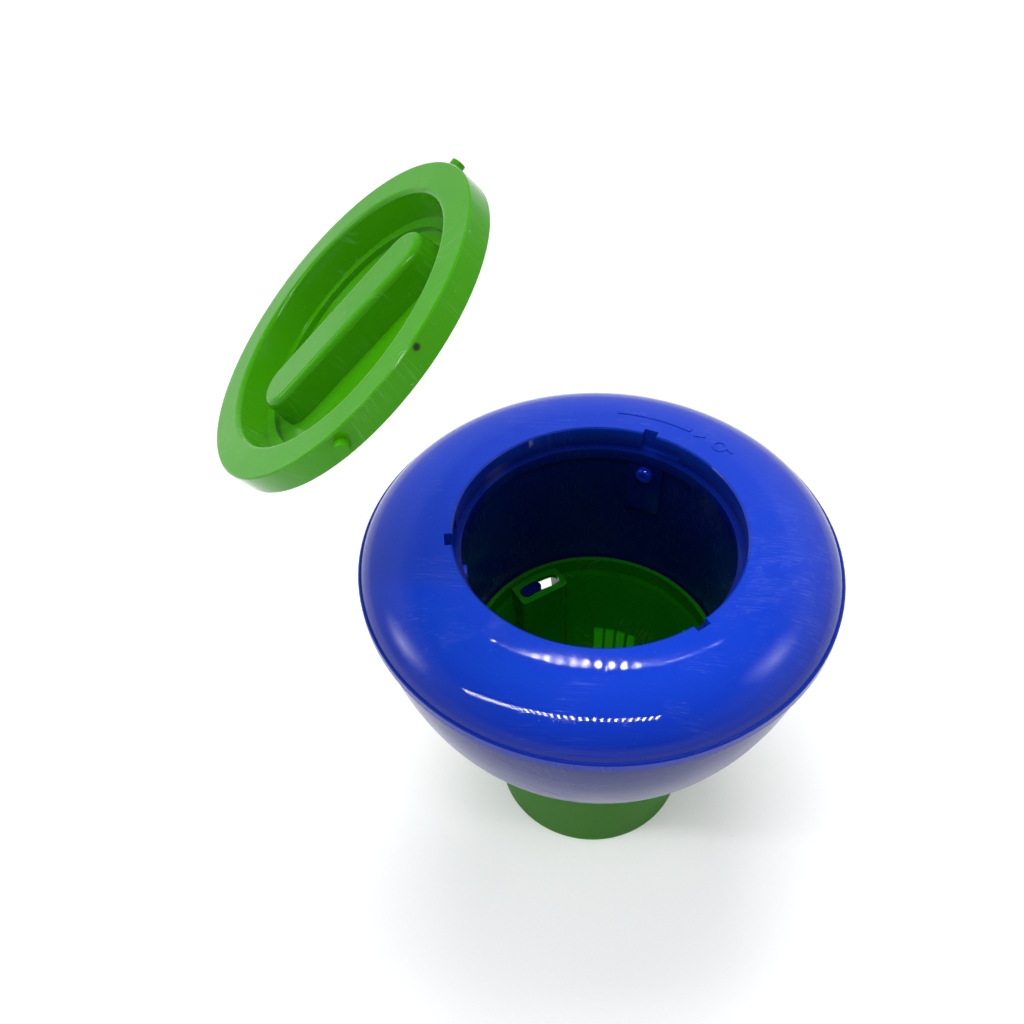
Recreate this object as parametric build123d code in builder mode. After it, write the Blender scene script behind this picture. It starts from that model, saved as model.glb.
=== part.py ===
"""Floating chlorine dispenser: ring float of two shells round a tablet chamber, a hanging
tablet cup that turns inside a vent sleeve, and a bayonet lid held off the mouth.

Millimetres, +Z up, origin at the centre of the flat foot. Angles run from +X towards +Y.
"""

from build123d import *
import os
from math import acos, asin, cos, degrees, radians, sin

os.makedirs("parts", exist_ok=True)

# ---------------------------------------------------------------- driving dimensions
RIM_Z = 185.0  # plane of the mouth's rim
MOUTH_R = 60.0
CROWN_R = 70.0  # the flat top ends here and the shoulder begins
SHOULDER_R = 30.2  # half axes of the elliptical shoulder
SHOULDER_H = 20.0
SHELL = 2.2
SEAM_Z = 170.5
LEDGE_Z = 175.1
SKIRT_Z = 169.5
LEDGE_R = 57.0

BAND_R = 100.2  # flange round the top of the bottom shell
BAND_Z = 165.7
BOWL_R = 97.6
BOWL_Z = 87.0
BOWL_END_R = 61.4
BOWL_POWER = 1.66  # fullness of the bowl, 2 is an ellipse

TUBE_R = 59.3
TUBE_WALL = 2.1
TUBE_Z = 97.0

NOTCH_AZ = 70.0
NOTCH_W = 6.3
NOTCH_R = 63.2
CHANNEL_ANGLE = 11.5
CHANNEL_TOP = 181.0
STUD_Z = 163.0
TONGUE_Z = 138.5

LID_R = 59.4
LID_SKIRT = 8.5
LID_FLOOR = 12.5
LID_WALL = 2.0
PIN_AZ = 44.6
PIN_R = 2.4
PIN_Z = -4.5
PIN_END = 62.3
BAR_AZ = 26.5
BAR_LENGTH = 74.0
BAR_WIDTH = 18.0
BAR_DRAFT = 6.0
BAR_TOP = -1.8

CUP_SLOPE = 0.1482  # radius gained per millimetre of height
CUP_FOOT_R = 44.6
CUP_FOOT_Z = 3.0
CUP_WALL = 2.2
CUP_NECK_Z = 88.0
CUP_RIM_Z = 99.0
CUP_RIM_R = 58.5
BOSS_AZ = 125.5
BOSS_W = 26.0
BOSS_R = 42.4
BOSS_Z = 38.0
BOSS_TOP = 96.0
GROOVE_W = 22.0
GROOVE_R = 44.4
GROOVE_Z = 40.0
GROOVE_TOP = 93.6
SLOT_R = 49.5
SLOT_W = 6.8
SLOT_HALF = 8.6  # degrees between the slot's middle and the centre of its end
LUG_AZ = 131.0
LUG_W = 9.0
PEG_W = 5.8
PEG_HALF = 3.1
PEG_SHANK = 4.0

VENT_AZ = 77.2
VENT_PITCH = 6.85
VENT_W = 4.8
VENT_Z = 29.0
VENT_H = 22.0
WINDOW_AZ = 98.0
WINDOW_W = 11.0

SLEEVE_GAP = 0.5
SLEEVE_WALL = 2.2
SLEEVE_TOP = 79.0
SLEEVE_FLOOR = 2.4
EAR_H = 3.4

# The lid, level over the mouth, is carried to its place by one turn about a far axis.
LID_OVER = Vector(0, 0, RIM_Z + 9.5)
SWING_POINT = Vector(-189.0, -31.1, 127.3)
SWING_DIR = (0.182, -0.9816, -0.058)
SWING_ANGLE = 40.18


# ---------------------------------------------------------------- helpers
def at(azimuth, radius, z=0.0):
    """Point at an angle and a radius from the axis."""
    return Vector(radius * cos(radians(azimuth)), radius * sin(radians(azimuth)), z)


def thirds(azimuth):
    """Three places a third of a turn apart."""
    return [azimuth + 120.0 * k for k in range(3)]


def wedge(r_in, r_out, start, end):
    """Flat face between two radii and two angles."""
    with BuildSketch() as face:
        with BuildLine():
            low = CenterArc((0, 0), r_in, start, end - start)
            high = CenterArc((0, 0), r_out, start, end - start)
            Line(low @ 0, high @ 0)
            Line(low @ 1, high @ 1)
        make_face()
    return face.sketch


def arc_slot(azimuth, radius, half_angle, width):
    """Slot that follows the circle, with round ends."""
    with BuildSketch() as face:
        add(wedge(radius - width / 2, radius + width / 2, azimuth - half_angle, azimuth + half_angle))
        with Locations(at(azimuth - half_angle, radius), at(azimuth + half_angle, radius)):
            Circle(width / 2)
    return face.sketch


def bar_across(azimuth, r_in, r_out, width):
    """Radial strip of even width."""
    with BuildSketch() as face:
        with Locations(Location(at(azimuth, (r_in + r_out) / 2), (0, 0, azimuth))):
            Rectangle(r_out - r_in, width)
    return face.sketch


def bowl_line(r_top, r_low, z_low, r_stop):
    """Points down a superelliptic bowl from the band to the radius where it stops."""
    share = max(0.0, (r_stop - r_low) / (r_top - r_low))
    t_end = acos(share ** (BOWL_POWER / 2))
    points = []
    for k in range(13):
        t = t_end * k / 12
        r = r_low + (r_top - r_low) * cos(t) ** (2 / BOWL_POWER)
        z = BAND_Z - (BAND_Z - z_low) * sin(t) ** (2 / BOWL_POWER)
        points.append((r, z))
    return points


def cup_r(z):
    """Outside radius of the cup's cone."""
    return CUP_FOOT_R + CUP_SLOPE * (z - CUP_FOOT_Z)


def sleeve_r(z):
    """Inside radius of the vent sleeve."""
    return cup_r(z) + SLEEVE_GAP


# ---------------------------------------------------------------- top shell
seam_h = SEAM_Z - (RIM_Z - SHOULDER_H)
outer_start = degrees(asin(seam_h / SHOULDER_H))
inner_start = degrees(asin(seam_h / (SHOULDER_H - SHELL)))
shoulder = (CROWN_R, RIM_Z - SHOULDER_H)

with BuildPart() as top_shell:
    with BuildSketch(Plane.XZ):
        with BuildLine():
            outer = EllipticalCenterArc(
                shoulder, SHOULDER_R, SHOULDER_H, outer_start, arc_size=90 - outer_start
            )
            inner = EllipticalCenterArc(
                shoulder,
                SHOULDER_R - SHELL,
                SHOULDER_H - SHELL,
                inner_start,
                arc_size=90 - inner_start,
            )
            Line(outer @ 0, inner @ 0)
            Polyline(
                inner @ 1,
                (65.0, RIM_Z - SHELL),
                (65.0, LEDGE_Z - 2.1),
                (TUBE_R - 0.1, LEDGE_Z - 2.1),
                (TUBE_R - 0.1, SKIRT_Z),
                (LEDGE_R, SKIRT_Z),
                (LEDGE_R, LEDGE_Z),
                (MOUTH_R, LEDGE_Z),
                (MOUTH_R, RIM_Z - 0.6),
                (MOUTH_R + 0.6, RIM_Z),
                outer @ 1,
            )
        make_face()
    revolve(axis=Axis.Z)
    # bayonet: an open notch and a channel that runs on clockwise from its foot
    half = degrees(NOTCH_W / 2 / MOUTH_R)
    with BuildSketch(Plane.XY.offset(LEDGE_Z)):
        for azimuth in thirds(NOTCH_AZ):
            add(bar_across(azimuth, LEDGE_R + 1, NOTCH_R, NOTCH_W))
    extrude(amount=20, mode=Mode.SUBTRACT)
    with BuildSketch(Plane.XY.offset(LEDGE_Z)):
        for azimuth in thirds(NOTCH_AZ):
            add(wedge(LEDGE_R + 1, 62.7, azimuth - half - CHANNEL_ANGLE, azimuth))
    extrude(amount=CHANNEL_TOP - LEDGE_Z, mode=Mode.SUBTRACT)
    # tongues that hang inside the chamber and take the studs
    with BuildSketch(Plane.XY.offset(TONGUE_Z)):
        for azimuth in thirds(NOTCH_AZ):
            add(wedge(TUBE_R - 1.1, TUBE_R - 0.1, azimuth - 8, azimuth + 8))
    extrude(amount=SKIRT_Z + 1 - TONGUE_Z)
    for azimuth in thirds(NOTCH_AZ):
        with BuildSketch(Plane(at(azimuth, 50, STUD_Z), z_dir=at(azimuth, 1))):
            Circle(2.1)
        extrude(amount=12, mode=Mode.SUBTRACT)

# raised turning arrow and padlock mark that follow the shoulder
with BuildPart() as marks:
    with BuildSketch(Plane.XY.offset(SEAM_Z)):
        add(wedge(70.6, 72.8, 57, 85))
        with BuildLine():
            head = [at(55, 69.2), at(55, 74.6), at(51, 71.9)]
            Polyline(*[(p.X, p.Y) for p in head], close=True)
        make_face()
        add(wedge(72.4, 73.6, 39.5, 43.0))
        with Locations(at(44.8, 71.8)):
            Circle(3.4)
            Circle(2.3, mode=Mode.SUBTRACT)
    extrude(amount=20)
    with BuildSketch(Plane.XZ, mode=Mode.PRIVATE) as skin:
        with BuildLine():
            raised = EllipticalCenterArc(
                shoulder, SHOULDER_R + 0.4, SHOULDER_H + 0.4, 77, arc_size=13
            )
            Polyline(
                raised @ 1,
                (MOUTH_R + 4, RIM_Z + 0.4),
                (MOUTH_R + 4, RIM_Z - 1.4),
                ((raised @ 0).X, RIM_Z - 1.4),
                raised @ 0,
            )
        make_face()
    revolve(skin.sketch, axis=Axis.Z, mode=Mode.INTERSECT)

with top_shell:
    add(marks.part)
top_shell.part.label = "top_shell"

# ---------------------------------------------------------------- bottom shell
bowl_out = bowl_line(BOWL_R, BOWL_END_R, BOWL_Z, BOWL_END_R)
bowl_in = bowl_line(BOWL_R - SHELL, BOWL_END_R, BOWL_Z + SHELL, BOWL_END_R + 2.1)

with BuildPart() as bottom_shell:
    with BuildSketch(Plane.XZ):
        with BuildLine():
            Spline(bowl_out, tangents=[(0, -1), (-1, 0)])
            Polyline(
                bowl_out[-1],
                (TUBE_R, BOWL_Z),
                (TUBE_R, TUBE_Z),
                (TUBE_R + 2.2, TUBE_Z),
                (TUBE_R + 2.2, TUBE_Z + 6),
                (TUBE_R + 4.2, TUBE_Z + 6),
                bowl_in[-1],
            )
            Spline(bowl_in)
            Polyline(
                bowl_in[0],
                (BAND_R - 7.2, BAND_Z),
                (BAND_R - 7.2, SEAM_Z + 2),
                (BAND_R - 5.2, SEAM_Z + 2),
                (BAND_R - 5.2, SEAM_Z),
                (BAND_R - 0.5, SEAM_Z),
                (BAND_R, SEAM_Z - 0.5),
                (BAND_R, BAND_Z + 0.5),
                (BAND_R - 0.5, BAND_Z),
                bowl_out[0],
            )
        make_face()
    revolve(axis=Axis.Z)
    # lugs that carry the cup by its bosses
    with BuildSketch(Plane.XY.offset(GROOVE_TOP - 3.8)):
        for azimuth in thirds(LUG_AZ):
            add(bar_across(azimuth, 45.5, TUBE_R + 1.2, LUG_W))
            with Locations(at(azimuth, SLOT_R)):
                Circle(PEG_SHANK / 2 + 0.05, mode=Mode.SUBTRACT)
    extrude(amount=3.5)
bottom_shell.part.label = "bottom_shell"

# ---------------------------------------------------------------- chamber tube
with BuildPart() as inner_tube:
    with BuildSketch(Plane.XY.offset(TUBE_Z)):
        Circle(TUBE_R + TUBE_WALL)
        Circle(TUBE_R, mode=Mode.SUBTRACT)
    extrude(amount=LEDGE_Z - 2.1 - TUBE_Z)
    for azimuth in thirds(NOTCH_AZ):
        with BuildSketch(Plane(at(azimuth, 50, STUD_Z), z_dir=at(azimuth, 1))):
            Circle(2.1)
        extrude(amount=16, mode=Mode.SUBTRACT)
inner_tube.part.label = "inner_tube"


# ---------------------------------------------------------------- studs
def make_stud(azimuth):
    """Push-in stud with its round head towards the axis."""
    seat = Plane(at(azimuth, TUBE_R - 1.4, STUD_Z), z_dir=at(azimuth, -1))
    with BuildPart() as stud:
        with BuildSketch(seat):
            Circle(3.8)
        extrude(amount=2.9)
        rims = stud.edges().filter_by(GeomType.CIRCLE)
        fillet(rims.sort_by_distance(at(azimuth, 50, STUD_Z))[0], radius=1.2)
        with BuildSketch(seat.offset(2.9)):
            Circle(1.1)
        extrude(amount=-0.8, mode=Mode.SUBTRACT)
        with BuildSketch(seat):
            Circle(2.05)
        extrude(amount=-4.3)
    return stud.part


studs = [make_stud(azimuth) for azimuth in thirds(NOTCH_AZ)]
for number, stud in enumerate(studs, 1):
    stud.label = f"snap_stud_{number}"


# ---------------------------------------------------------------- pegs
def make_peg(azimuth):
    """Peg with a curved head that stands in a boss's slot and stops the turn."""
    low = SLEEVE_TOP - EAR_H - 0.4
    with BuildPart() as peg:
        with BuildSketch(Plane.XY.offset(GROOVE_TOP - 0.3)):
            add(arc_slot(azimuth, SLOT_R, PEG_HALF, PEG_W))
        extrude(amount=BOSS_TOP + 0.8 - GROOVE_TOP + 0.3)
        fillet(peg.faces().sort_by(Axis.Z)[-1].edges(), radius=0.5)
        with BuildSketch(Plane.XY.offset(low)):
            with Locations(at(azimuth, SLOT_R)):
                Circle(PEG_SHANK / 2)
        extrude(amount=GROOVE_TOP - 0.3 - low)
        chamfer(peg.edges().sort_by(Axis.Z)[0], length=0.5)
    return peg.part


pegs = [make_peg(azimuth) for azimuth in thirds(LUG_AZ)]
for number, peg in enumerate(pegs, 1):
    peg.label = f"limit_peg_{number}"

# ---------------------------------------------------------------- cup
with BuildPart() as well:
    with BuildSketch(Plane.XZ):
        with BuildLine():
            Polyline(
                (0, CUP_FOOT_Z + 2.4),
                (cup_r(CUP_FOOT_Z + 2.4) - CUP_WALL, CUP_FOOT_Z + 2.4),
                (cup_r(CUP_NECK_Z) - CUP_WALL, CUP_NECK_Z),
                (CUP_RIM_R - 2.5, CUP_NECK_Z + 3),
                (CUP_RIM_R - 2.5, CUP_RIM_Z + 1),
                (0, CUP_RIM_Z + 1),
                close=True,
            )
        make_face()
    revolve(axis=Axis.Z)
    with BuildSketch(Plane.XY.offset(BOSS_Z)):
        for azimuth in thirds(BOSS_AZ):
            with Locations(Location(at(azimuth, BOSS_R + 14), (0, 0, azimuth))):
                RectangleRounded(28, BOSS_W, 2.5)
    extrude(amount=BOSS_TOP - BOSS_Z, mode=Mode.SUBTRACT)

with BuildPart() as cup:
    with BuildSketch(Plane.XZ):
        with BuildLine():
            Polyline(
                (0, CUP_FOOT_Z),
                (CUP_FOOT_R - 1, CUP_FOOT_Z),
                (cup_r(CUP_FOOT_Z + 1), CUP_FOOT_Z + 1),
                (cup_r(CUP_NECK_Z), CUP_NECK_Z),
                (CUP_RIM_R, CUP_NECK_Z + 3),
                (CUP_RIM_R, CUP_RIM_Z - 0.5),
                (CUP_RIM_R - 0.5, CUP_RIM_Z),
                (0, CUP_RIM_Z),
                close=True,
            )
        make_face()
    revolve(axis=Axis.Z)
    add(well.part, mode=Mode.SUBTRACT)
    # grooves behind the bosses, open outwards
    with BuildSketch(Plane.XY.offset(GROOVE_Z)):
        for azimuth in thirds(BOSS_AZ):
            add(bar_across(azimuth, GROOVE_R, 62.0, GROOVE_W))
    extrude(amount=GROOVE_TOP - GROOVE_Z, mode=Mode.SUBTRACT)
    with BuildSketch(Plane.XY.offset(GROOVE_TOP - 1)):
        for azimuth in thirds(BOSS_AZ):
            add(arc_slot(azimuth, SLOT_R, SLOT_HALF, SLOT_W))
    extrude(amount=6, mode=Mode.SUBTRACT)
    with BuildSketch(Plane.XY.offset(VENT_Z)):
        for group in thirds(VENT_AZ):
            for k in range(4):
                add(bar_across(group + (k - 1.5) * VENT_PITCH, 38.0, 60.0, VENT_W))
    extrude(amount=VENT_H, mode=Mode.SUBTRACT)
cup.part.label = "cup"

# ---------------------------------------------------------------- vent sleeve
with BuildPart() as vent_sleeve:
    with BuildSketch(Plane.XZ):
        with BuildLine():
            Polyline(
                (0, 0),
                (sleeve_r(0) + SLEEVE_WALL - 0.8, 0),
                (sleeve_r(0.8) + SLEEVE_WALL, 0.8),
                (sleeve_r(SLEEVE_TOP) + SLEEVE_WALL, SLEEVE_TOP),
                (sleeve_r(SLEEVE_TOP), SLEEVE_TOP),
                (sleeve_r(SLEEVE_FLOOR), SLEEVE_FLOOR),
                (0, SLEEVE_FLOOR),
                close=True,
            )
        make_face()
    revolve(axis=Axis.Z)
    with BuildSketch(Plane.XY.offset(SLEEVE_TOP - EAR_H)):
        for azimuth in thirds(LUG_AZ):
            add(bar_across(azimuth, 45.5, sleeve_r(SLEEVE_TOP - EAR_H) + 1, LUG_W))
            with Locations(at(azimuth, SLOT_R)):
                Circle(PEG_SHANK / 2 + 0.05, mode=Mode.SUBTRACT)
    extrude(amount=EAR_H)
    with BuildSketch(Plane.XY.offset(VENT_Z)):
        for azimuth in thirds(WINDOW_AZ):
            add(bar_across(azimuth, 38.0, 60.0, WINDOW_W))
    extrude(amount=VENT_H, mode=Mode.SUBTRACT)
vent_sleeve.part.label = "vent_sleeve"

# ---------------------------------------------------------------- lid
swing = Axis((0, 0, 0), SWING_DIR)
lid_up = Vector(0, 0, 1).rotate(swing, SWING_ANGLE)
lid_side = Vector(1, 0, 0).rotate(swing, SWING_ANGLE)
lid_centre = SWING_POINT + (LID_OVER - SWING_POINT).rotate(swing, SWING_ANGLE)
lid_top = Plane(origin=lid_centre, x_dir=lid_side, z_dir=lid_up)
lid_section = Plane(origin=lid_centre, x_dir=lid_side, z_dir=lid_side.cross(lid_up))

with BuildPart() as lid:
    with BuildSketch(lid_section):
        with BuildLine():
            Polyline(
                (0, -LID_FLOOR),
                (42.0, -LID_FLOOR),
                (42.0, -LID_FLOOR + 2),
                (46.0, -LID_FLOOR + 2),
                (47.6, -1.7),
            )
            RadiusArc((47.6, -1.7), (49.3, 0), 1.7)
            Polyline(
                (49.3, 0),
                (LID_R - 0.5, 0),
                (LID_R, -0.5),
                (LID_R, -LID_SKIRT),
                (LID_R - LID_WALL, -LID_SKIRT),
                (LID_R - LID_WALL, -LID_WALL),
                (49.7, -LID_WALL),
                (48.2, -LID_FLOOR),
                (44.0, -LID_FLOOR),
                (44.0, -LID_FLOOR - LID_WALL),
                (0, -LID_FLOOR - LID_WALL),
                (0, -LID_FLOOR),
            )
        make_face()
    revolve(axis=Axis(lid_centre, lid_up))
    # hollow grip bar across the dish
    with BuildSketch(lid_top.offset(BAR_TOP)):
        with Locations(Location((0, 0, 0), (0, 0, BAR_AZ))):
            SlotOverall(BAR_LENGTH, BAR_WIDTH)
    extrude(amount=-(LID_FLOOR + BAR_TOP + 0.5), taper=-BAR_DRAFT)
    top_face = lid.faces().sort_by_distance(lid_centre + lid_up * BAR_TOP)[0]
    fillet(top_face.outer_wire().edges(), radius=2.4)
    with BuildSketch(lid_top.offset(BAR_TOP - LID_WALL)):
        with Locations(Location((0, 0, 0), (0, 0, BAR_AZ))):
            SlotOverall(BAR_LENGTH - 4, BAR_WIDTH - 4)
    extrude(amount=-(LID_FLOOR + BAR_TOP), taper=-BAR_DRAFT, mode=Mode.SUBTRACT)
    # three bayonet pins round the skirt
    for azimuth in thirds(PIN_AZ):
        root = lid_top.from_local_coords(at(azimuth, LID_R - 1.5, PIN_Z))
        tip = lid_top.from_local_coords(at(azimuth, PIN_END, PIN_Z))
        with BuildSketch(Plane(root, z_dir=tip - root)):
            Circle(PIN_R)
        extrude(amount=(tip - root).length)
lid.part.label = "lid"

# ---------------------------------------------------------------- files
builders = [top_shell, bottom_shell, inner_tube, cup, vent_sleeve, lid]
for piece in [builder.part for builder in builders] + studs + pegs:
    export_step(piece, f"parts/{piece.label}.step")
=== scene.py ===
"""Looks of the floating chlorine dispenser: glossy blue float, green cup, sleeve and lid."""

import math

import bpy
from mathutils import Matrix, Vector


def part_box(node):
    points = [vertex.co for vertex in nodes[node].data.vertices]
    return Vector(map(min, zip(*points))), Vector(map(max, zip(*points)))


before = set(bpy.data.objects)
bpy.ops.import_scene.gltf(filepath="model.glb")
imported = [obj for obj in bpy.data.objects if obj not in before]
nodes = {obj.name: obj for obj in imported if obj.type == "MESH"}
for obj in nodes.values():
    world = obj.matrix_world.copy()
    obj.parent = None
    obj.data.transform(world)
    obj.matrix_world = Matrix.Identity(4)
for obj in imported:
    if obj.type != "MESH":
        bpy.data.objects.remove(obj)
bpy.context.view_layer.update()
scene = bpy.context.scene

# places on the object, in metres, taken from the frame's boxes
shell_high = Vector(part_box("top_shell")[1])
bowl_high = Vector(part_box("bottom_shell")[1])
lid_corner = Vector(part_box("lid")[0])
rim_z = shell_high.z
mouth_radius = 0.0603
# heights where the painted shade inside the mouth's lip and low on the shoulder begins and ends
lip_low = rim_z - 0.0154
lip_high = rim_z - 0.0009
shoulder_low = rim_z - 0.0164
shoulder_high = rim_z - 0.0008
# lower edge of the painted light on the bowl's flange
flange_low = bowl_high.z - 0.0069
right_shoulder = Vector((shell_high.x - 0.0140, -0.0200, rim_z - 0.0204))
lid_low_end = lid_corner + Vector((0.0135, 0.0393, 0.0148))
gate_mark = lid_corner + Vector((0.0810, 0.0183, 0.0659))
aim = Vector((0.0, 0.0, 0.15))


# ---------------------------------------------------------------- node helpers
class Graph:
    """Short way to write the nodes of a material or of the world."""

    def __init__(self, tree, place="Object"):
        self.tree = tree
        self.tree.nodes.clear()
        self.place = self.node("ShaderNodeTexCoord").outputs[place]

    def node(self, kind, **settings):
        made = self.tree.nodes.new(kind)
        for key, value in settings.items():
            setattr(made, key, value)
        return made

    def put(self, made, key, value):
        socket = made.inputs[key]
        if isinstance(value, bpy.types.NodeSocket):
            self.tree.links.new(value, socket)
        else:
            socket.default_value = value

    def finish(self, shader, kind="ShaderNodeOutputMaterial"):
        self.put(self.node(kind), "Surface", shader)

    def noise(self, scale, detail=2.0, rough=0.5, stretch=None, turn=(0, 0, 0), distort=0.0):
        source = self.place
        if stretch is not None:
            mapping = self.node("ShaderNodeMapping")
            self.put(mapping, "Vector", self.place)
            self.put(mapping, "Rotation", turn)
            self.put(mapping, "Scale", stretch)
            source = mapping.outputs["Vector"]
        made = self.node("ShaderNodeTexNoise")
        self.put(made, "Vector", source)
        self.put(made, "Scale", scale)
        self.put(made, "Detail", detail)
        self.put(made, "Roughness", rough)
        self.put(made, "Distortion", distort)
        return made.outputs["Fac"]

    def ramp(self, value, low, high, to_low=0.0, to_high=1.0):
        made = self.node("ShaderNodeMapRange")
        self.put(made, "Value", value)
        self.put(made, "From Min", low)
        self.put(made, "From Max", high)
        self.put(made, "To Min", to_low)
        self.put(made, "To Max", to_high)
        return made.outputs["Result"]

    def math(self, what, a, b=0.0, c=0.0):
        made = self.node("ShaderNodeMath", operation=what)
        self.put(made, 0, a)
        self.put(made, 1, b)
        self.put(made, 2, c)
        return made.outputs[0]

    def mix(self, factor, a, b):
        made = self.node("ShaderNodeMix", data_type="RGBA")
        self.put(made, "Factor", factor)
        self.put(made, 6, a)
        self.put(made, 7, b)
        return made.outputs[2]

    def axes(self):
        made = self.node("ShaderNodeSeparateXYZ")
        self.put(made, 0, self.place)
        return made.outputs

    def vector_math(self, what, other=None):
        """The place's LENGTH, or its DISTANCE or DOT_PRODUCT with another vector."""
        made = self.node("ShaderNodeVectorMath", operation=what)
        self.put(made, 0, self.place)
        if other is not None:
            self.put(made, 1, other)
        return made.outputs["Value"]

    def near(self, point, reach):
        """1 at a point, falling to 0 at a distance."""
        return self.ramp(self.vector_math("DISTANCE", point), 0.0, reach, 1.0, 0.0)

    def scratches(self, lanes, width, rare=0.60):
        """Thin short lines in several directions, 0 to 1."""
        total = None
        for turn, seed in lanes:
            lane = self.noise(1.0, 1.0, 0.5, (seed * 3.0, 1400.0, seed * 2.0), turn, 0.2)
            line = self.math("ABSOLUTE", self.math("SUBTRACT", lane, 0.5))
            line = self.ramp(line, 0.0, width, 1.0, 0.0)
            patch = self.ramp(self.noise(seed * 3.4), rare, rare + 0.05)
            line = self.math("MULTIPLY", line, patch)
            total = line if total is None else self.math("MAXIMUM", total, line)
        return total


def material_graph(name):
    """New material, and the graph that fills it."""
    made = bpy.data.materials.new(name)
    made.use_nodes = True
    return made, Graph(made.node_tree)


# ---------------------------------------------------------------- plastic
long_lanes = [
    ((0.3, 0.9, 0.5), 9.0),
    ((1.1, 0.2, 1.9), 12.0),
    ((0.7, 1.4, 2.6), 7.0),
    ((2.1, 0.5, 0.1), 15.0),
]
worn_lanes = [((0.5, 0.6, 1.0), 21.0), ((1.7, 1.1, 0.4), 26.0)]


def wear_lines(g, worn):
    """Scratches all over, and denser ones round a worn spot."""
    lines = g.scratches(long_lanes, 0.022)
    if worn is None:
        return lines
    spot, reach = worn
    local = g.math("MULTIPLY", g.scratches(worn_lanes, 0.05, 0.5), g.near(spot, reach))
    return g.math("MAXIMUM", lines, g.math("MULTIPLY", local, 1.6))


def mouth_and_shoulder_painted_shade(g, colour):
    """Painted shade: dark blue down inside the mouth's lip, and deeper blue low on the shoulder,
    both standing in for shade on the float's one even blue plastic.
    """
    x, y, z = g.axes()
    radius = g.math("SQRT", g.math("ADD", g.math("MULTIPLY", x, x), g.math("MULTIPLY", y, y)))
    outside = g.ramp(radius, mouth_radius, mouth_radius + 0.0006)
    # painted shade inside the mouth, darker further down
    lit = g.math("MAXIMUM", outside, g.ramp(z, lip_low, lip_high, 0.16, 0.75))
    colour = g.mix(lit, (0.0, 0.001, 0.012, 1), colour)
    # painted shade low on the shoulder, deepest at the seam
    height = g.ramp(z, shoulder_low, shoulder_high, 0.20, 1.0)
    return g.mix(height, (0.001, 0.006, 0.150, 1), colour)


def flange_painted_light(g, colour):
    """Painted light: brighter blue on the flange at the top of the bowl, standing in for light
    falling on it; the flange is the bowl's own blue plastic.
    """
    height = g.axes()["Z"]
    return g.mix(g.ramp(height, flange_low - 0.0004, flange_low), colour, (0.002, 0.020, 0.300, 1))


def moulding_mark(g, colour):
    """Small dark mark left by the mould's gate."""
    return g.mix(g.ramp(g.near(gate_mark, 0.0015), 0.0, 0.5), colour, (0.02, 0.035, 0.01, 1))


def surface_normal(g, lines):
    """Faint grain and scratches, over a slow waviness."""
    fine = g.node("ShaderNodeBump")
    g.put(fine, "Strength", 0.10)
    g.put(fine, "Distance", 0.00006)
    grain = g.noise(1500.0)
    g.put(fine, "Height", g.math("MULTIPLY_ADD", grain, 0.35, g.math("MULTIPLY", lines, -1.0)))
    wave = g.node("ShaderNodeBump")
    g.put(wave, "Strength", 0.05)
    g.put(wave, "Distance", 0.0004)
    g.put(wave, "Height", g.noise(26.0))
    g.put(wave, "Normal", fine.outputs["Normal"])
    return wave.outputs["Normal"]


def plastic(
    name, base, deep, pale, rough, haze, scratch, shine=0.5, glow=0.0, worn=None, detail=None,
    thin=0.0, inner=None
):
    """Injection-moulded plastic with flow marks, haze, fine scratches and a faint grain.

    base, deep and pale are the body colour, its flow marks and its scratches. glow is light
    spread under the skin, and thin the share of light that passes through a wall, tinted by
    inner. detail paints what only one part has, painted shade and painted light among it.
    """
    made, g = material_graph(name)
    flow = g.ramp(g.noise(11.0, 4.0, 0.55, (1.0, 1.0, 0.45), (0, 0, 0), 0.6), 0.3, 0.7)
    colour = g.mix(g.math("MULTIPLY", flow, 0.6), (*base, 1), (*deep, 1))
    lines = wear_lines(g, worn)
    colour = g.mix(g.math("MULTIPLY", lines, scratch), colour, (*pale, 1))
    dust = g.ramp(g.noise(520.0), 0.70, 0.78)
    colour = g.mix(g.math("MULTIPLY", dust, 0.10), colour, (*pale, 1))
    if detail is not None:
        colour = detail(g, colour)
    cloud = g.ramp(g.noise(16.0, 5.0, 0.6), 0.42, 0.72)
    gloss = g.math("MULTIPLY_ADD", cloud, haze, rough)
    gloss = g.math("MULTIPLY_ADD", g.noise(240.0), 0.02, gloss)
    gloss = g.math("MULTIPLY_ADD", lines, 0.12, gloss)
    shader = g.node("ShaderNodeBsdfPrincipled")
    g.put(shader, "Base Color", colour)
    g.put(shader, "Roughness", gloss)
    g.put(shader, "IOR", 1.49)
    g.put(shader, "Specular IOR Level", shine)
    g.put(shader, "Normal", surface_normal(g, lines))
    if glow > 0.0:
        g.put(shader, "Subsurface Weight", glow)
        g.put(shader, "Subsurface Radius", (0.002, 0.006, 0.001))
        g.put(shader, "Subsurface Scale", 1.0)
    result = shader.outputs[0]
    if thin > 0.0:
        through = g.node("ShaderNodeBsdfTranslucent")
        g.put(through, "Color", (*inner, 1) if inner is not None else colour)
        blend = g.node("ShaderNodeMixShader")
        g.put(blend, 0, thin)
        g.put(blend, 1, result)
        g.put(blend, 2, through.outputs[0])
        result = blend.outputs[0]
    g.finish(result)
    return made


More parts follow.
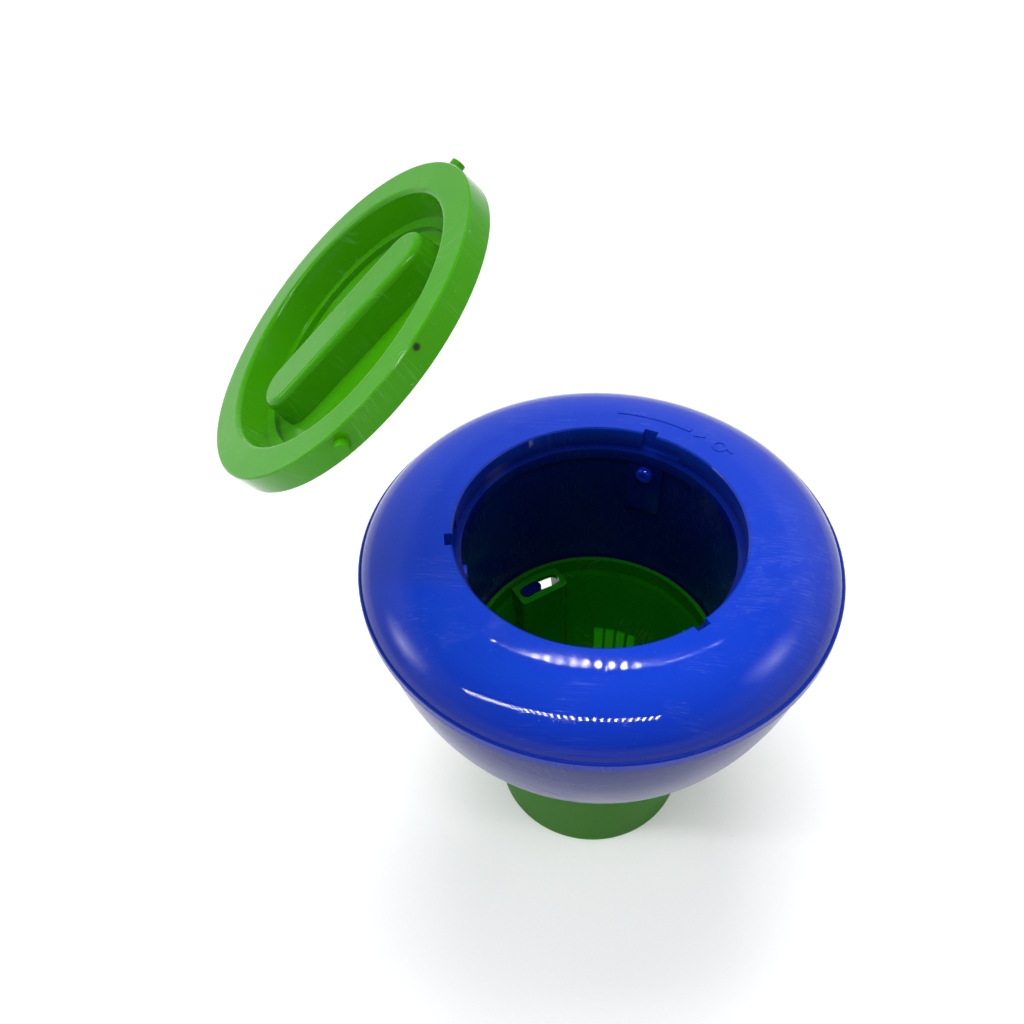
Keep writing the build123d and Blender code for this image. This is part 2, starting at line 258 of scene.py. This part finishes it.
# ---------------------------------------------------------------- the parts' materials
shell_blue = plastic(
    "shell_blue",
    base=(0.007, 0.046, 0.540),
    deep=(0.006, 0.039, 0.490),
    pale=(0.30, 0.38, 0.85),
    rough=0.012,
    haze=0.03,
    scratch=0.10,
    shine=0.30,
    worn=(right_shoulder, 0.06),
    # painted shade inside the mouth and low on the shoulder
    detail=mouth_and_shoulder_painted_shade,
)
bowl_blue = plastic(
    "bowl_blue",
    base=(0.003, 0.014, 0.170),
    deep=(0.002, 0.010, 0.130),
    pale=(0.30, 0.34, 0.60),
    rough=0.16,
    haze=0.10,
    scratch=0.10,
    shine=0.22,
    # painted light on the flange at the top of the bowl
    detail=flange_painted_light,
)
# Painted shade: a darker copy of the float's blue plastic, standing in for the shade inside the
# tube; the limit pegs share it.
painted_shade_tube_blue = plastic(
    "painted_shade_tube_blue",
    base=(0.001, 0.005, 0.120),
    deep=(0.001, 0.004, 0.090),
    pale=(0.10, 0.14, 0.40),
    rough=0.22,
    haze=0.10,
    scratch=0.05,
    shine=0.3,
)
stud_blue = plastic(
    "stud_blue",
    base=(0.002, 0.024, 0.500),
    deep=(0.002, 0.018, 0.400),
    pale=(0.25, 0.33, 0.80),
    rough=0.12,
    haze=0.10,
    scratch=0.10,
)
lid_green = plastic(
    "lid_green",
    base=(0.046, 0.282, 0.002),
    deep=(0.034, 0.238, 0.002),
    pale=(0.60, 0.80, 0.50),
    rough=0.09,
    haze=0.08,
    scratch=0.05,
    shine=0.17,
    glow=0.06,
    worn=(lid_low_end, 0.030),
    detail=moulding_mark,
)
cup_green = plastic(
    "cup_green",
    base=(0.008, 0.250, 0.004),
    deep=(0.005, 0.200, 0.003),
    pale=(0.35, 0.60, 0.25),
    rough=0.18,
    haze=0.10,
    scratch=0.12,
    glow=0.08,
    thin=0.18,
)
sleeve_green = plastic(
    "sleeve_green",
    base=(0.080, 0.305, 0.026),
    deep=(0.062, 0.253, 0.018),
    pale=(0.40, 0.60, 0.30),
    rough=0.34,
    haze=0.10,
    scratch=0.12,
    shine=0.06,
    thin=0.50,
    inner=(0.08, 0.62, 0.01),
)


def finish_of(name):
    """Material of a CAD node, by its name."""
    if name.startswith("limit_peg"):
        # painted shade: the limit pegs take the tube's darker copy of the blue
        return painted_shade_tube_blue
    if name.startswith("snap_stud"):
        return stud_blue
    return {
        "top_shell": shell_blue,
        "bottom_shell": bowl_blue,
        "inner_tube": painted_shade_tube_blue,
        "vent_sleeve": sleeve_green,
        "cup": cup_green,
        "lid": lid_green,
    }[name]


for name, part in nodes.items():
    if not part.material_slots:
        part.data.materials.append(finish_of(name))
    for slot in part.material_slots:
        slot.material = finish_of(name)


# ---------------------------------------------------------------- floor
def pale_floor(size=14.0, near_glow=0.19, far_glow=0.72):
    """Plain pale floor that stays white into the distance."""
    bpy.ops.mesh.primitive_plane_add(size=size, location=(0, 0, 0))
    floor = bpy.context.object
    floor.name = "floor"
    made, g = material_graph("pale_floor")
    tone = g.mix(g.noise(3.0, 3.0), (0.90, 0.90, 0.90, 1), (0.86, 0.86, 0.87, 1))
    shader = g.node("ShaderNodeBsdfPrincipled")
    g.put(shader, "Base Color", tone)
    g.put(shader, "Emission Color", (1.0, 1.0, 1.0, 1))
    glow = g.ramp(g.vector_math("LENGTH"), 0.8, 3.5, near_glow, far_glow)
    g.put(shader, "Emission Strength", glow)
    g.put(shader, "Roughness", g.ramp(g.noise(30.0, 3.0), 0.0, 1.0, 0.55, 0.75))
    g.finish(shader.outputs[0])
    floor.data.materials.append(made)


# ---------------------------------------------------------------- room and lamps
def studio_room(wall=0.68, ceiling=0.06, photographer=(0.0, -0.86, 0.51)):
    """Pale walls, a dim ceiling, and a dim patch where the photographer stands."""
    world = bpy.data.worlds.new("studio")
    scene.world = world
    world.use_nodes = True
    g = Graph(world.node_tree, "Generated")
    height = g.axes()["Z"]
    level = g.ramp(height, 0.62, 0.80, wall, ceiling)
    dimmed = g.ramp(g.vector_math("DOT_PRODUCT", photographer), 0.30, 0.93, 0.0, -0.90)
    above_horizon = g.ramp(height, 0.22, 0.40)
    shade = g.math("MULTIPLY_ADD", above_horizon, dimmed, 1.0)
    sky = g.node("ShaderNodeBackground")
    g.put(sky, "Color", (1.0, 1.0, 1.0, 1))
    g.put(sky, "Strength", g.math("MULTIPLY", level, shade))
    g.finish(sky.outputs[0], "ShaderNodeOutputWorld")


def facing(place, axis):
    """Turn that points an axis of a lamp or panel at the object."""
    return (aim - Vector(place)).to_track_quat(axis, "Y").to_euler()


def top_lamp(name, place, size, power):
    """Square lamp that lights the object but doesn't show in its gloss."""
    data = bpy.data.lights.new(name, "AREA")
    data.size = size
    data.energy = power
    made = bpy.data.objects.new(name, data)
    scene.collection.objects.link(made)
    made.location = place
    made.rotation_euler = facing(place, "-Z")
    made.visible_glossy = False


def soft_box(name, place, reach, strength, sides=24):
    """Round glowing panel that fades to clear at its edge and faces the object."""
    turns = [k * math.tau / sides for k in range(sides)]
    ring = [(reach * math.cos(turn), reach * math.sin(turn), 0.0) for turn in turns]
    mesh = bpy.data.meshes.new(name)
    mesh.from_pydata(ring, [], [tuple(range(sides))])
    made = bpy.data.objects.new(name, mesh)
    scene.collection.objects.link(made)
    made.location = place
    made.rotation_euler = facing(place, "Z")
    made.visible_camera = False
    glow, g = material_graph(name + "_glow")
    fade = g.near((0.0, 0.0, 0.0), reach)
    uneven = g.ramp(g.noise(4.0, 3.0), 0.3, 0.7, 0.8, 1.2)
    fade = g.math("MULTIPLY", fade, g.math("MULTIPLY", fade, uneven))
    light = g.node("ShaderNodeEmission")
    g.put(light, "Strength", g.math("MULTIPLY", fade, strength))
    both = g.node("ShaderNodeAddShader")
    g.put(both, 0, light.outputs[0])
    g.put(both, 1, g.node("ShaderNodeBsdfTransparent").outputs[0])
    g.finish(both.outputs[0])
    mesh.materials.append(glow)


def led_strip(name, start, end, count, long, wide, strength):
    """Row of small glowing tiles on the ceiling, facing down."""
    start, end = Vector(start), Vector(end)
    along = (end - start).normalized()
    side = along.cross(Vector((0, 0, 1))).normalized()
    points, faces = [], []
    for k in range(count):
        middle = start.lerp(end, k / (count - 1))
        first = len(points)
        for a, b in ((-1, -1), (1, -1), (1, 1), (-1, 1)):
            points.append(middle + along * a * long / 2 + side * b * wide / 2)
        faces.append((first, first + 3, first + 2, first + 1))
    mesh = bpy.data.meshes.new(name)
    mesh.from_pydata([tuple(point) for point in points], [], faces)
    made = bpy.data.objects.new(name, mesh)
    scene.collection.objects.link(made)
    glow, g = material_graph(name + "_glow")
    light = g.node("ShaderNodeEmission")
    g.put(light, "Color", g.mix(g.noise(40.0, 3.0), (1.0, 0.98, 0.95, 1), (0.93, 0.96, 1.0, 1)))
    g.put(light, "Strength", strength)
    g.finish(light.outputs[0])
    mesh.materials.append(glow)


pale_floor()
studio_room()
led_strip(
    "leds_rear",
    start=(-0.215, 0.862, 1.5),
    end=(0.285, 0.830, 1.5),
    count=21,
    long=0.008,
    wide=0.006,
    strength=260.0,
)
led_strip(
    "leds_front",
    start=(-1.16, -0.64, 1.5),
    end=(0.47, -0.60, 1.5),
    count=34,
    long=0.014,
    wide=0.11,
    strength=90.0,
)
soft_box("left", place=(-1.70, -0.10, 0.95), reach=0.55, strength=8.0)
soft_box("right", place=(1.25, 0.10, 1.35), reach=0.45, strength=6.0)
top_lamp("over", place=(-0.1, 0.7, 2.3), size=1.2, power=33.0)


# ---------------------------------------------------------------- camera
def photo_camera(eye, yaw, pitch, roll, lens):
    """Camera at the photograph's place and angle; pitch is downward."""
    forward = Vector(
        (math.sin(yaw) * math.cos(pitch), math.cos(yaw) * math.cos(pitch), -math.sin(pitch))
    )
    level_right = Vector((math.cos(yaw), -math.sin(yaw), 0))
    down = forward.cross(level_right)
    right = math.cos(roll) * level_right + math.sin(roll) * down
    up = math.sin(roll) * level_right - math.cos(roll) * down
    data = bpy.data.cameras.new("camera")
    data.sensor_width = 36.0
    data.lens = lens
    data.clip_start = 0.01
    made = bpy.data.objects.new("camera", data)
    scene.collection.objects.link(made)
    turned = Matrix((right, up, -forward)).transposed().to_4x4()
    made.matrix_world = Matrix.Translation(Vector(eye)) @ turned
    scene.camera = made


photo_camera(
    eye=(0.0, -0.27672, 0.48567), yaw=-0.1272, pitch=0.8122, roll=0.0495, lens=35.16
)
scene.view_settings.view_transform = "Standard"
